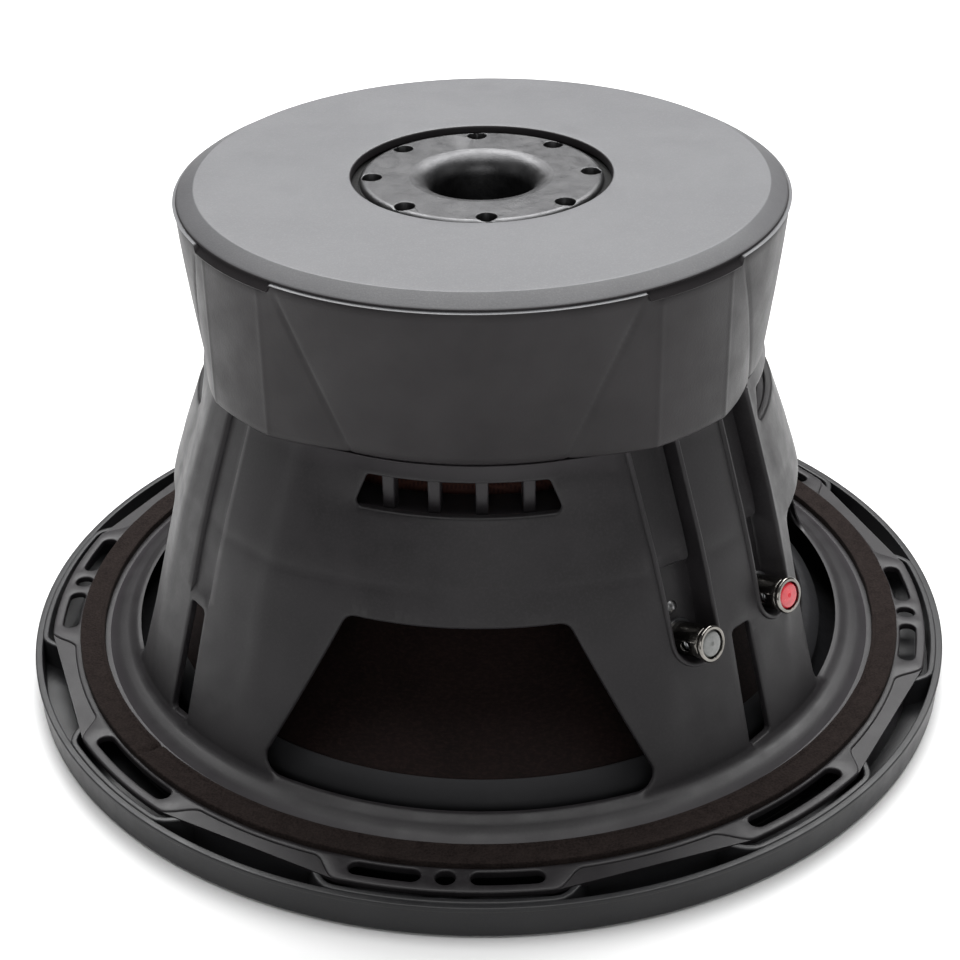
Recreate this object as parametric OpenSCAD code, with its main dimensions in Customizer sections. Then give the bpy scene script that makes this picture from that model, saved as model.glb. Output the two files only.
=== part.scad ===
// Twelve inch car subwoofer, standing on its front trim ring with the magnet up.
// Origin: centre of the trim ring's front face. +Z runs towards the magnet.
// Turns are measured about Z from -Y towards +X.

/* [Overall] */
// Outer radius of the trim ring, the widest part
trim_r = 163; // [150:1:200]
// Height from the trim ring's face to the top of the magnet boot
overall_h = 178; // [170:1:216]

/* [Trim ring] */
// Height of the trim ring's outer wall
trim_h = 11.8; // [11:0.1:12.4]
// Thickness of the trim ring's face
trim_face_t = 2; // [1.5:0.1:3]
// Thickness of the trim ring's outer wall
trim_wall_t = 1.8; // [1.4:0.1:2.4]
// Thickness of the wall that follows the flange's outline
nest_wall_t = 2.2; // [1.6:0.1:2.6]
// Gap between the flange's outline and that wall
nest_gap = 1.7; // [1:0.1:2.2]

/* [Frame] */
// Thickness of the frame's wall
wall_t = 3; // [2:0.1:4]
// Height of the flange's rear face
flange_z = 13; // [12.6:0.1:15]
// Thickness of the flange
flange_t = 2.5; // [2:0.1:3]
// Thickness of the seat that carries the top plate
seat_t = 4; // [3:0.1:5]
// Radius of the hole through the seat
seat_r = 62; // [56:1:66]
// Height of the steeper wall between the knee and the seat
crown_h = 37.5; // [34:0.5:42]
// How much wider the knee is than the crown
knee_out = 13.6; // [10:0.1:18]
// Turn of the legs from the front and back windows
leg_turn = 49; // [47:0.5:50]

/* [Flange and mounting] */
// Radius of the round mounting holes
bolt_hole_r = 3.1; // [2.4:0.05:3.3]
// Distance from the trim ring's edge in to the bolt circle
bolt_inset = 12; // [11:0.1:12.5]
// Thickness of the foam gasket
gasket_t = 2.5; // [1.5:0.1:4]
// Width of the foam gasket
gasket_w = 8.7; // [6:0.1:8.8]

/* [Motor] */
// Radius of the magnets
magnet_r = 90; // [80:1:100]
// Thickness of each magnet
magnet_t = 16; // [13:0.5:19]
// Radius of the hole through the magnets
magnet_hole_r = 50; // [46:1:56]
// Thickness of the top plate
top_plate_t = 10; // [8:0.5:12]
// Thickness of the back plate
back_plate_t = 11.3; // [9:0.1:13]
// Radius of the hole through the pole
pole_vent_r = 16.5; // [12:0.5:19]
// Inner radius of the voice coil's former
former_r = 32; // [28:0.5:36]
// Running gap between the former and the pole
pole_gap = 1; // [0.6:0.1:1.4]
// Running gap between the winding and the top plate
plate_gap = 1.2; // [0.8:0.1:1.6]
// Height of the voice coil's winding
winding_h = 32; // [24:1:36]

/* [Magnet boot] */
// Thickness of the rubber over the back plate
boot_t = 3; // [2:0.1:4]
// Gap between the boss on the back plate and the boot's opening
boot_hole_gap = 2.6; // [1:0.1:5]
// Width of the boot's top edge outside the magnets
boot_out = 9.6; // [8:0.1:12]
// How far the boot's side tapers in between the corners
boot_taper = 5.5; // [3:0.1:5.5]

/* [Cone] */
// Thickness of the cone's paper
cone_t = 1.4; // [1:0.1:2.2]
// Radius of the dust cap
dust_cap_r = 48; // [42:1:56]
// Width of the surround's roll
roll_w = 18.6; // [16:0.1:19]
// Depth of the surround's roll
roll_d = 8.6; // [6:0.1:8.8]

/* [Terminals] */
// Distance of each terminal from the middle of its leg
post_x = 19; // [17:0.5:20]
// Radius of the push cap
cap_r = 4.3; // [3.6:0.1:5.2]
// Thickness of the terminal's barrel at its front ring
barrel_t = 1.3; // [1.1:0.1:1.6]
// Running gap around the push cap
cap_gap = 0.3; // [0.2:0.05:0.4]
// How far the push cap travels
cap_travel = 3; // [2:0.1:3.2]

/* [Hidden] */
$fn = 96;
eps = 0.01;

// Levels of the motor, from the boot down to the seat
boot_gap = 0.2;
back_plate_top = overall_h - boot_t - boot_gap;
back_plate_z = back_plate_top - back_plate_t;
rear_magnet_z = back_plate_z - magnet_t;
front_magnet_z = rear_magnet_z - magnet_t;
shoulder_z = front_magnet_z - top_plate_t;
seat_z = shoulder_z - seat_t;

// Outline of the frame's wall
foot_r = trim_r - 35.5;
foot_z = flange_z + 4;
crown_r = magnet_r + 4.4;
knee_r = crown_r + knee_out;
knee_z = shoulder_z - crown_h;

// Flange
flange_under = flange_z - flange_t;
flange_in_r = foot_r + 6;
plate_base_r = trim_r - 14;
plate_tab_r = trim_r - 6;
bolt_r = trim_r - bolt_inset;
gasket_out_r = trim_r - 16;
gasket_in_r = gasket_out_r - gasket_w;
slot_r = bolt_hole_r - 0.3;
round_tab = [12.2, 16];
long_tab = [8.6, 12.6];
short_slot = [3.9, 10.3];
long_slot = [-6.6, 6.6];

// Openings in the wall
front_window = [18.3, 30.7];
side_window = [18.6, 24.8];
window_top_z = shoulder_z - 48.3;
window_corner = 5;
vent_top_z = shoulder_z - 5.2;
vent_h = 10.3;
vent_spread = [16.9, 19.2];
slot_w = 10.4;
groove_w = 11;
groove_d = 1.4;

// Spider and its landing
spider_z = shoulder_z - 20.6;
spider_t = 0.8;
spider_wave = 2.8;
spider_waves = 5;
spider_in_r = former_r + 6;
landing_r = 80;
landing_t = 3;
landing_w = 11;
landing_z = spider_z + spider_t / 2;
bar_w = 3.9;
bar_d = 4.5;
bar_turns = [-13.4, -4.5, 4.5, 13.4];

// Moving parts
former_t = 0.6;
winding_t = 2;
former_out_r = former_r + former_t;
winding_r = former_out_r + winding_t;
pole_r = former_r - pole_gap;
plate_bore_r = winding_r + plate_gap;
winding_z = shoulder_z + (top_plate_t - winding_h) / 2;
neck_z = shoulder_z - 38;
cone_r = trim_r - 44;
cone_z = flange_z + 1;
cone_slope = (neck_z - cone_z) / (cone_r - former_out_r);
cone_drop = cone_t * sqrt(1 + cone_slope * cone_slope);
lip_w = 6;
lip_t = 1.1;
roll_t = 1.2;
roll_r = cone_r + 0.7 + roll_w / 2;
eyelet_at = [dust_cap_r + 6, 12];
eyelet_r = 2.2;
eyelet_top = cone_back(eyelet_at[0] - 4);

// Terminals
post_z = shoulder_z - 62;
post_tilt = atan((foot_r - knee_r) / (knee_z - foot_z));
post_r = cap_r + cap_gap + barrel_t;
boss_r = post_r + 0.4;
channel_w = 2 * boss_r + 3.4;
channel_rim = 1.4;
channel_d = 8;
channel_floor = 2.5;
channel_lift = 1.2;
block_depth = 18;
block_size = [56, 22];
post_front = 5.3;
post_back = -8.5;
bore_back = -4.5;
stem_r = 2.5;
wire_hole_r = 1.7;
wire_hole_at = -1.8;
cap_front = 5;
cap_back = 0.4;
rivet_r = 1.5;
rivet_y = 10.4;
rivet_sink = 1.4;
wall_fall = wall_r(post_z) - sqrt(pow(wall_r(post_z), 2) - pow(post_x, 2));
rivet_seat = -(channel_d + wall_fall) * cos(post_tilt) - rivet_sink;
tag_len = 6;
tag_t = 1;
lead_steps = 24;
lead_r = 1.1;

// Screws that hold the frame to the top plate
screw_turns = [for (i = [0:5]) 15 + 60 * i];
screw_at_r = 76;
screw_r = 2.5;

// Magnet boot
boot_r = magnet_r + boot_out;
boot_low_z = shoulder_z + 0.5;
boot_side_top = overall_h - 4.2;

// Boss on the back plate, with its ring of cooling holes
cool_hole_r = 3.2;
cool_ring_r = pole_r + 4.5;
boss_edge = cool_ring_r + cool_hole_r + 1;
boot_hole_r = boss_edge + boot_hole_gap;

function polar(r, a) = [r * sin(a), -r * cos(a)];
function wall_r(z) = z < knee_z
    ? foot_r + (knee_r - foot_r) * (z - foot_z) / (knee_z - foot_z)
    : knee_r + (crown_r - knee_r) * (z - knee_z) / (shoulder_z - knee_z);
function cone_back(r) = cone_z + cone_slope * (cone_r - r);
function unit(v) = v / norm(v);
function ease(t) = t <= 0 ? 0 : t >= 1 ? 1 : t * t * (3 - 2 * t);
function away(a, step) = abs(a - step * round(a / step));
// Share of a tab at a turn: 1 on the tab, 0 between tabs
function tab_share(a, half) = ease((half[1] - a) / (half[1] - half[0]));
function plate_share(a) = max(tab_share(away(a, 90), round_tab), tab_share(away(a - 45, 90), long_tab));
function plate_r(a) = plate_base_r + (plate_tab_r - plate_base_r) * plate_share(a);
// Corners of a polygon rounded with arcs of radius r
function rounded(p, r, n = 5) = [for (i = [0:len(p) - 1])
    let(b = p[i], u = unit(p[(i + len(p) - 1) % len(p)] - b), v = unit(p[(i + 1) % len(p)] - b),
        half = acos(u * v) / 2, reach = r / tan(half), mid = b + unit(u + v) * r / sin(half),
        s = b + u * reach - mid, e = b + v * reach - mid, sweep = acos(unit(s) * unit(e)))
    for (k = [0:n]) mid + (s * sin(sweep * (1 - k / n)) + e * sin(sweep * k / n)) / sin(sweep)];

// 2D shape in the plane of the wall, cut out along one direction
module through_wall(turn, near = 60) {
    rotate([0, 0, turn]) rotate([90, 0, 0]) translate([0, 0, near])
        linear_extrude(trim_r - near) children();
}

// Solid that fills everything from the wall's surface inwards, grown by out
module inside_wall(out) {
    rotate_extrude() polygon([[0, foot_z - 20], [wall_r(foot_z - 20) + out, foot_z - 20],
        [knee_r + out, knee_z], [crown_r + out, shoulder_z], [0, shoulder_z]]);
}

// Places a child on a leg: its +Z is the outward normal and its +Y runs up the wall
module on_leg() {
    rotate([0, 0, leg_turn]) translate([0, -wall_r(post_z), post_z])
        rotate([90 - post_tilt, 0, 0]) children();
}

module outline(grow) {
    polygon([for (a = [0:359]) polar(plate_r(a) + grow, a)]);
}

// Ring sector between two turns with round ends
module slot(turns, r, half_w) {
    intersection() {
        difference() {
            circle(r + half_w);
            circle(r - half_w);
        }
        polygon([[0, 0], polar(2 * r, turns[0]), polar(2 * r / cos((turns[1] - turns[0]) / 2),
            (turns[0] + turns[1]) / 2), polar(2 * r, turns[1])]);
    }
    for (a = turns) translate(polar(r, a)) circle(half_w);
}

module trim_ring() {
    lip = 0.6;
    wall_r0 = trim_r - lip - trim_wall_t;
    in_r = roll_r + roll_w / 2 + roll_t + 0.9;
    color("#26262a") {
        rotate_extrude() polygon([[in_r, 0.6], [in_r + 0.6, 0], [trim_r - lip - 0.8, 0],
            [trim_r - lip, 0.8], [trim_r - lip, trim_h - 1.4], [trim_r, trim_h - 1], [trim_r, trim_h - 0.3],
            [trim_r - 0.3, trim_h], [wall_r0, trim_h], [wall_r0, trim_face_t], [in_r + 3, trim_face_t],
            [in_r + 3, flange_under - lip_t - 0.3], [in_r, flange_under - lip_t - 0.3]]);
        linear_extrude(flange_z - 0.9) intersection() {
            difference() {
                outline(nest_gap + nest_wall_t);
                outline(nest_gap);
            }
            circle(trim_r - lip - eps);
        }
    }
}

module frame_wall() {
    rotate_extrude() polygon([[seat_r, shoulder_z], [crown_r, shoulder_z], [knee_r, knee_z], [foot_r, foot_z],
        [foot_r + 2.4, foot_z - 1.4], [foot_r + 5, foot_z - 2], [foot_r + 9.5, flange_z],
        [plate_base_r - 4, flange_z], [plate_base_r - 4, flange_under], [flange_in_r, flange_under],
        [foot_r - wall_t, foot_z - 0.5], [knee_r - wall_t, knee_z], [wall_r(seat_z) - wall_t, seat_z],
        [seat_r, seat_z]]);
}

module spider_landing() {
    top = landing_z + landing_t;
    rotate_extrude() polygon([[landing_r, landing_z], [wall_r(landing_z) - 1, landing_z],
        [wall_r(top) - 1, top], [landing_r, top]]);
    for (side = [0:90:270], a = bar_turns) rotate([0, 0, side + a])
        translate([-bar_w / 2, -landing_r - landing_w - 1.5, top - eps])
            cube([bar_w, bar_d, seat_z - top + 2 * eps]);
}

module channel_2d(half) {
    z0 = post_z + channel_lift;
    for (x = [-post_x, post_x]) translate([x, z0]) {
        circle(half);
        translate([-half, 0]) square([2 * half, shoulder_z - z0 + 20]);
    }
}

// Outer skin of the two terminal channels: rims outside, trough inside
module channel_bodies() {
    difference() {
        intersection() {
            through_wall(leg_turn) channel_2d(channel_w / 2 + channel_rim);
            inside_wall(1.1);
        }
        inside_wall(-channel_d - channel_floor);
    }
}

module channel_cuts() {
    difference() {
        through_wall(leg_turn) channel_2d(channel_w / 2);
        inside_wall(-channel_d);
    }
    on_leg() for (x = [-post_x, post_x]) {
        translate([x, 0, -20]) cylinder(r = boss_r + 0.2, h = 20);
        translate([x, rivet_y, -20]) cylinder(r = rivet_r + 0.05, h = 20);
        translate([x, rivet_y, rivet_seat]) cylinder(r = 2.7, h = 6);
    }
}

module window_2d(spread) {
    top = wall_r(window_top_z) * sin(spread[0]);
    low = wall_r(foot_z) * sin(spread[1]);
    polygon(rounded([[-low, foot_z], [low, foot_z], [top, window_top_z], [-top, window_top_z]],
        window_corner));
}

module vent_2d() {
    low_z = vent_top_z - vent_h;
    top = wall_r(vent_top_z) * sin(vent_spread[0]);
    low = wall_r(low_z) * sin(vent_spread[1]);
    polygon(rounded([[-low, low_z], [low, low_z], [top, vent_top_z], [-top, vent_top_z]], 1.2, 3));
}

module leg_slot_2d() {
    top = post_z - 3;
    half = slot_w / 2;
    polygon(rounded([[-half, foot_z], [half, foot_z + 1], [half - 1, top], [1 - half, top]], 1.5, 3));
}

// Shallow groove up the middle of each plain leg
module leg_grooves() {
    difference() {
        for (turn = [-leg_turn, 180 - leg_turn, 180 + leg_turn]) through_wall(turn)
            translate([-groove_w / 2, post_z - 6]) square([groove_w, shoulder_z]);
        inside_wall(-groove_d);
    }
}

module mount_holes() {
    for (side = [0:90:270]) rotate([0, 0, side]) translate([0, 0, flange_under - 1])
        linear_extrude(flange_t + 2) {
            translate([0, -bolt_r]) circle(bolt_hole_r);
            slot(short_slot, bolt_r, slot_r);
            slot([-short_slot[1], -short_slot[0]], bolt_r, slot_r);
            rotate([0, 0, 45]) slot(long_slot, bolt_r, slot_r);
        }
}

module frame() {
    color("#2b2b2e") {
        difference() {
            union() {
                difference() {
                    frame_wall();
                    leg_grooves();
                }
                translate([0, 0, flange_under]) linear_extrude(flange_t) difference() {
                    outline(0);
                    circle(plate_base_r - 5);
                }
                channel_bodies();
            }
            channel_cuts();
            for (turn = [0, 180]) through_wall(turn) window_2d(front_window);
            for (turn = [90, 270]) through_wall(turn) window_2d(side_window);
            for (turn = [0:90:270]) through_wall(turn, landing_r) vent_2d();
            for (turn = [-leg_turn, leg_turn, 180 - leg_turn, 180 + leg_turn])
                through_wall(turn) leg_slot_2d();
            mount_holes();
            for (a = screw_turns) rotate([0, 0, a]) translate([0, -screw_at_r, seat_z - 1])
                cylinder(r = screw_r + 0.1, h = seat_t + 2);
        }
        difference() {
            spider_landing();
            channel_cuts();
        }
    }
}

module rear_gasket() {
    color("#2a2320") translate([0, 0, flange_z]) difference() {
        cylinder(r = gasket_out_r, h = gasket_t);
        translate([0, 0, -1]) cylinder(r = gasket_in_r, h = gasket_t + 2);
    }
}

// Arc of the surround's roll: grow moves it from the rear skin to the front skin
function roll_arc(grow, from, to) = [for (i = [0:20])
    let(a = from + (to - from) * i / 20)
    [roll_r + (roll_w / 2 + grow) * cos(a), flange_under - (roll_d + grow) * sin(a)]];

module surround() {
    lip_in = cone_r - lip_w;
    color("#1c1c1e") rotate_extrude() polygon(concat(
        [[plate_base_r - 2, flange_under - lip_t], [plate_base_r - 2, flange_under]],
        roll_arc(0, 0, 180),
        [[roll_r - roll_w / 2, cone_z + lip_t * 0.4], [lip_in, cone_back(lip_in) + lip_t],
            [lip_in, cone_back(lip_in)], [cone_r, cone_z], [cone_r, cone_z - cone_drop],
            [roll_r - roll_w / 2 - roll_t, flange_under]],
        roll_arc(roll_t, 180, 8)));
}

module cone() {
    neck_h = 3.4;
    color("#3a2420") difference() {
        rotate_extrude() polygon([[cone_r, cone_z - cone_drop], [cone_r, cone_z],
            [former_out_r + 1.2, cone_back(former_out_r + 1.2)], [former_out_r + 1.2, neck_z + neck_h],
            [former_out_r, neck_z + neck_h], [former_out_r, neck_z - cone_drop]]);
        for (x = [-1, 1]) rotate([0, 0, leg_turn]) translate([x * eyelet_at[1], -eyelet_at[0], 0])
            cylinder(r = eyelet_r, h = neck_z + 20);
    }
}

module dust_cap() {
    rise = dust_cap_r * 0.35;
    ball = (dust_cap_r * dust_cap_r + rise * rise) / (2 * rise);
    edge_z = cone_back(dust_cap_r) - cone_drop;
    rim = 3;
    cap_t = 0.9;
    low_z = edge_z - cone_slope * rim;
    dome = [for (i = [1:16]) let(a = asin(dust_cap_r / ball) * i / 16)
        [ball * sin(a), edge_z - rise + ball * (1 - cos(a))]];
    color("#1e1e20") rotate_extrude() polygon(concat(
        [[0, dome[0][1] - cap_t]], [for (p = dome) p - [0, cap_t]],
        [[dust_cap_r + rim, low_z - cap_t], [dust_cap_r + rim, low_z]],
        [for (i = [len(dome) - 1:-1:0]) dome[i]], [[0, dome[0][1]]]));
}

module tube(r, hole_r, h) {
    difference() {
        cylinder(r = r, h = h);
        translate([0, 0, -1]) cylinder(r = hole_r, h = h + 2);
    }
}

module coil_former() {
    low_z = neck_z - cone_drop - 2;
    color("#8a8d92") translate([0, 0, low_z]) tube(former_out_r, former_r, winding_z + winding_h - low_z);
}

module voice_coil() {
    color("#b3622c") translate([0, 0, winding_z]) tube(winding_r, former_out_r, winding_h);
}

function spider_line(lift) = [for (i = [0:12 * spider_waves])
    let(r = spider_in_r + (landing_r - 1 - spider_in_r) * i / (12 * spider_waves))
    [r, spider_z + lift + spider_wave * sin(30 * i)]];

module spider() {
    half = spider_t / 2;
    line = spider_line(half);
    under = spider_line(-half);
    color("#6d3a22") rotate_extrude() polygon(concat(
        [[former_out_r, spider_z - half], [former_out_r, spider_z + 4],
            [former_out_r + spider_t, spider_z + 4], [former_out_r + spider_t, spider_z + half]],
        line,
        [[landing_r + landing_w, spider_z + half], [landing_r + landing_w, spider_z - half]],
        [for (i = [len(under) - 1:-1:0]) under[i]]));
}

module top_plate() {
    color("#9a9ca0") translate([0, 0, shoulder_z]) difference() {
        tube(magnet_r, plate_bore_r, top_plate_t);
        for (a = screw_turns) rotate([0, 0, a]) translate([0, -screw_at_r, -1])
            cylinder(r = screw_r, h = top_plate_t);
    }
}

module magnet(z) {
    color("#3c3c40") translate([0, 0, z]) tube(magnet_r, magnet_hole_r, magnet_t);
}

module front_magnet() {
    magnet(front_magnet_z);
}

module rear_magnet() {
    magnet(rear_magnet_z);
}

// Quarter arc from the top of a corner round to its side
function round_edge(r, z, size) = [for (i = [0:6])
    [r - size + size * sin(15 * i), z - size + size * cos(15 * i)]];

module back_plate_and_pole() {
    boss_top = back_plate_top + 2.2;
    flare = 7;
    mouth = [for (i = [0:8]) let(a = 11.25 * i)
        [pole_vent_r + flare * (1 - sin(a)), boss_top - flare * (1 - cos(a))]];
    color("#b9bbbe") difference() {
        rotate_extrude() polygon(concat(mouth,
            [[pole_vent_r, shoulder_z + 1], [pole_vent_r + 3, shoulder_z - 2], [pole_r - 1, shoulder_z - 2],
                [pole_r, shoulder_z - 1], [pole_r, back_plate_z], [magnet_r, back_plate_z],
                [magnet_r, back_plate_top], [boss_edge + 0.01, back_plate_top]],
            [for (i = [6:-1:0]) round_edge(boss_edge, boss_top, 2.1)[i]]));
        for (i = [0:7]) rotate([0, 0, 7.5 + 45 * i]) translate([0, -cool_ring_r, back_plate_z - 1])
            cylinder(r = cool_hole_r, h = back_plate_t + 6);
    }
}

// Slice through one corner pillar: a round face, and flanks that run back into the side
function pillar_slice(face_r, half_face, side_r, half_side) = concat(
    [polar(magnet_r + 1.5, -half_side - 1), polar(side_r, -half_side)],
    [for (i = [0:6]) polar(face_r, half_face * (i / 3 - 1))],
    [polar(side_r, half_side), polar(magnet_r + 1.5, half_side + 1)]);

module boot_pillar() {
    hull() {
        translate([0, 0, boot_side_top - 0.3]) linear_extrude(0.1)
            polygon(pillar_slice(boot_r - 0.25, 8.2, boot_r - 1.5, 12));
        translate([0, 0, boot_low_z + 0.2]) linear_extrude(0.1)
            polygon(pillar_slice(boot_r - 0.35, 8.6, boot_r - 1.2 - boot_taper, 25.5));
    }
}

module magnet_boot() {
    side = [for (i = [0:10]) [boot_r - 0.5 - boot_taper * pow(i / 10, 1.4),
        boot_side_top - (boot_side_top - boot_low_z) * i / 10]];
    color("#3f3f43") {
        rotate_extrude() polygon(concat(
            [[boot_hole_r, overall_h - boot_t], [boot_hole_r, overall_h - 0.8],
                [boot_hole_r + 0.8, overall_h],
                [boot_r - 7, overall_h], [boot_r, overall_h - 3.1], [boot_r, boot_side_top]],
            side, [[magnet_r + 0.3, boot_low_z], [magnet_r + 0.3, overall_h - boot_t]]));
        difference() {
            for (turn = [45:90:315]) rotate([0, 0, turn]) boot_pillar();
            translate([0, 0, boot_low_z - 1]) cylinder(r = magnet_r + 1.5, h = overall_h);
        }
        for (turn = [45:90:315]) rotate([0, 0, turn]) {
            translate([0, 0, boot_side_top - 2.2]) linear_extrude(3.2) intersection() {
                difference() {
                    circle(boot_r - 0.05);
                    circle(boot_r - 3);
                }
                polygon([[0, 0], polar(2 * boot_r, -11), polar(2 * boot_r, 11)]);
            }
        }
    }
}

module frame_screws() {
    head_h = 3;
    color("#5a5a5e") for (a = screw_turns) rotate([0, 0, a]) translate([0, -screw_at_r, 0]) difference() {
        union() {
            translate([0, 0, seat_z - head_h]) cylinder(r = 4.4, h = head_h);
            translate([0, 0, seat_z - eps]) cylinder(r = screw_r, h = seat_t + top_plate_t - 2);
        }
        translate([0, 0, seat_z - head_h - 1]) cylinder(r = 2, h = 2.6, $fn = 6);
    }
}

module block_solid() {
    x = block_size[0] / 2;
    y = block_size[1] / 2;
    intersection() {
        on_leg() translate([0, 1.6, -block_depth]) linear_extrude(block_depth)
            polygon(rounded([[-x, -y], [x, -y], [x, y], [-x, y]], 3));
        inside_wall(-channel_d - channel_floor - 0.02);
    }
}

module terminal_block() {
    color("#18181a") difference() {
        union() {
            block_solid();
            on_leg() for (x = [-post_x, post_x]) translate([x, 0, -block_depth])
                cylinder(r = boss_r, h = block_depth + post_back);
        }
        on_leg() for (x = [-post_x, post_x]) {
            translate([x, 0, -block_depth - 1]) cylinder(r = stem_r, h = block_depth);
            translate([x, rivet_y, -block_depth - 1]) cylinder(r = rivet_r, h = block_depth);
        }
    }
}

module terminal_rivets() {
    color("#c9cacc") on_leg() for (x = [-post_x, post_x]) translate([x, rivet_y, 0]) {
        translate([0, 0, -block_depth]) cylinder(r = rivet_r, h = block_depth + rivet_seat + eps);
        translate([0, 0, -block_depth - 1.2]) cylinder(r = 2.4, h = 1.2);
        translate([0, 0, rivet_seat])
            rotate_extrude() polygon([[0, 0], [2.5, 0], [2.4, 0.9], [1.7, 1.6], [0.8, 2], [0, 2.1]]);
    }
}

module terminal_post(x) {
    neck = post_r - 0.7;
    color("#4a4a4e") on_leg() translate([x, 0, 0]) {
        difference() {
            rotate_extrude() polygon([[0, post_back], [neck, post_back], [neck, post_front - 2.4],
                [neck - 0.3, post_front - 2.2], [neck - 0.3, post_front - 1.8], [post_r, post_front - 1.5],
                [post_r, post_front - 0.4], [post_r - 0.4, post_front], [cap_r + cap_gap, post_front],
                [cap_r + cap_gap, bore_back], [0, bore_back]]);
            translate([-post_r - 1, 0, wire_hole_at]) rotate([0, 90, 0])
                cylinder(r = wire_hole_r, h = 2 * post_r + 2);
        }
        translate([0, 0, -block_depth]) cylinder(r = stem_r, h = block_depth + post_back + eps);
        translate([-stem_r, -tag_t / 2, -block_depth - tag_len]) cube([2 * stem_r, tag_t, tag_len]);
    }
}

module terminal_post_positive() {
    terminal_post(post_x);
}

module terminal_post_negative() {
    terminal_post(-post_x);
}

module push_cap(x) {
    on_leg() translate([x, 0, 0]) rotate_extrude() polygon([[0, cap_back], [cap_r - 0.3, cap_back],
        [cap_r, cap_back + 0.3], [cap_r, cap_front - 0.5], [cap_r - 0.5, cap_front], [0, cap_front + 0.25]]);
}

module push_cap_positive() {
    color("#d8202c") push_cap(post_x);
}

module push_cap_negative() {
    color("#6a6d6a") push_cap(-post_x);
}

// Coil spring behind a push cap, swept as a ring of points along a helix
module cap_spring(x) {
    turns = 4;
    coil_r = 3.2;
    wire_r = 0.35;
    low = bore_back + wire_r;
    high = cap_back - wire_r - 0.05;
    steps = turns * 14;
    ring = [for (k = [0:5]) [wire_r * cos(60 * k), wire_r * sin(60 * k)]];
    points = [for (i = [0:steps], w = ring) let(a = 360 * turns * i / steps, r = coil_r + w[0])
        [r * cos(a), r * sin(a), low + 0.05 + (high - low - 0.1) * i / steps + w[1]]];
    sides = [for (i = [0:steps - 1], k = [0:5]) let(a = 6 * i + k, b = 6 * i + (k + 1) % 6)
        [a, b, b + 6, a + 6]];
    color("#c4c6c8") on_leg() translate([x, 0, 0]) polyhedron(points,
        concat(sides, [[5, 4, 3, 2, 1, 0]], [[for (k = [0:5]) 6 * steps + k]]));
}

module cap_spring_positive() {
    cap_spring(post_x);
}

module cap_spring_negative() {
    cap_spring(-post_x);
}

module lead_eyelets() {
    base_z = cone_back(eyelet_at[0] + 5) - cone_drop;
    color("#b8923c") rotate([0, 0, leg_turn]) for (x = [-1, 1])
        translate([x * eyelet_at[1], -eyelet_at[0], base_z]) tube(eyelet_r, 1.5, eyelet_top - base_z);
}

// Point on a terminal's axis, in the leg's upright frame
function tag_point(x, reach) = [x * post_x, reach * cos(post_tilt) - wall_r(post_z),
    post_z - reach * sin(post_tilt)];
// Point at a share of the way along a lead, which rises and falls between its two ends
function lead_point(tag, eye, share) = [tag[0] + (eye[0] - tag[0]) * ease(share),
    tag[1] + (eye[1] - tag[1]) * (share + 0.1 * sin(180 * share)),
    tag[2] + (eye[2] - tag[2]) * ease(share) + 9 * sin(180 * share)];

// Tinsel lead from a solder tag to its eyelet: a tube swept along a loop
module lead(x) {
    eye = [x * eyelet_at[1], -eyelet_at[0], eyelet_top + lead_r + 0.4];
    tip = tag_point(x, block_depth + tag_len);
    start = lead_point(tip, eye, 1 / lead_steps) - tip;
    tilt = post_tilt + atan(start[2] / start[1]);
    tag = tag_point(x, block_depth + tag_len + tag_t / 2 * tan(tilt) - 0.05);
    path = [for (i = [0:lead_steps]) lead_point(tag, eye, i / lead_steps)];
    along = [for (i = [0:lead_steps]) unit(path[min(i + 1, lead_steps)] - path[max(i - 1, 0)])];
    side = [for (d = along) unit(cross(d, [1, 0, 0]))];
    points = [for (i = [0:lead_steps], k = [0:7]) let(u = side[i], v = cross(along[i], u))
        path[i] + lead_r * (u * cos(45 * k) + v * sin(45 * k))];
    faces = [for (i = [0:lead_steps - 1], k = [0:7]) let(a = 8 * i + k, b = 8 * i + (k + 1) % 8)
        [a, a + 8, b + 8, b]];
    color("#b9a58c") rotate([0, 0, leg_turn]) polyhedron(points,
        concat(faces, [[for (k = [0:7]) k]], [[for (k = [7:-1:0]) 8 * lead_steps + k]]));
}

module tinsel_lead_positive() {
    lead(1);
}

module tinsel_lead_negative() {
    lead(-1);
}

trim_ring();
frame();
rear_gasket();
surround();
cone();
dust_cap();
coil_former();
voice_coil();
spider();
top_plate();
front_magnet();
rear_magnet();
back_plate_and_pole();
magnet_boot();
frame_screws();
terminal_block();
terminal_rivets();
terminal_post_positive();
terminal_post_negative();
push_cap_positive();
push_cap_negative();
cap_spring_positive();
cap_spring_negative();
lead_eyelets();
tinsel_lead_positive();
tinsel_lead_negative();
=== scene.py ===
"""Looks of a car subwoofer speaker that stands on its front ring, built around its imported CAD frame.

Lengths are in millimetres until a mesh is made. Turns are in degrees about Z, from -Y towards +X.
"""

import math
import random

import bmesh
import bpy
import numpy as np
from mathutils import Matrix, Vector
from mathutils.geometry import delaunay_2d_cdt


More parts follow.
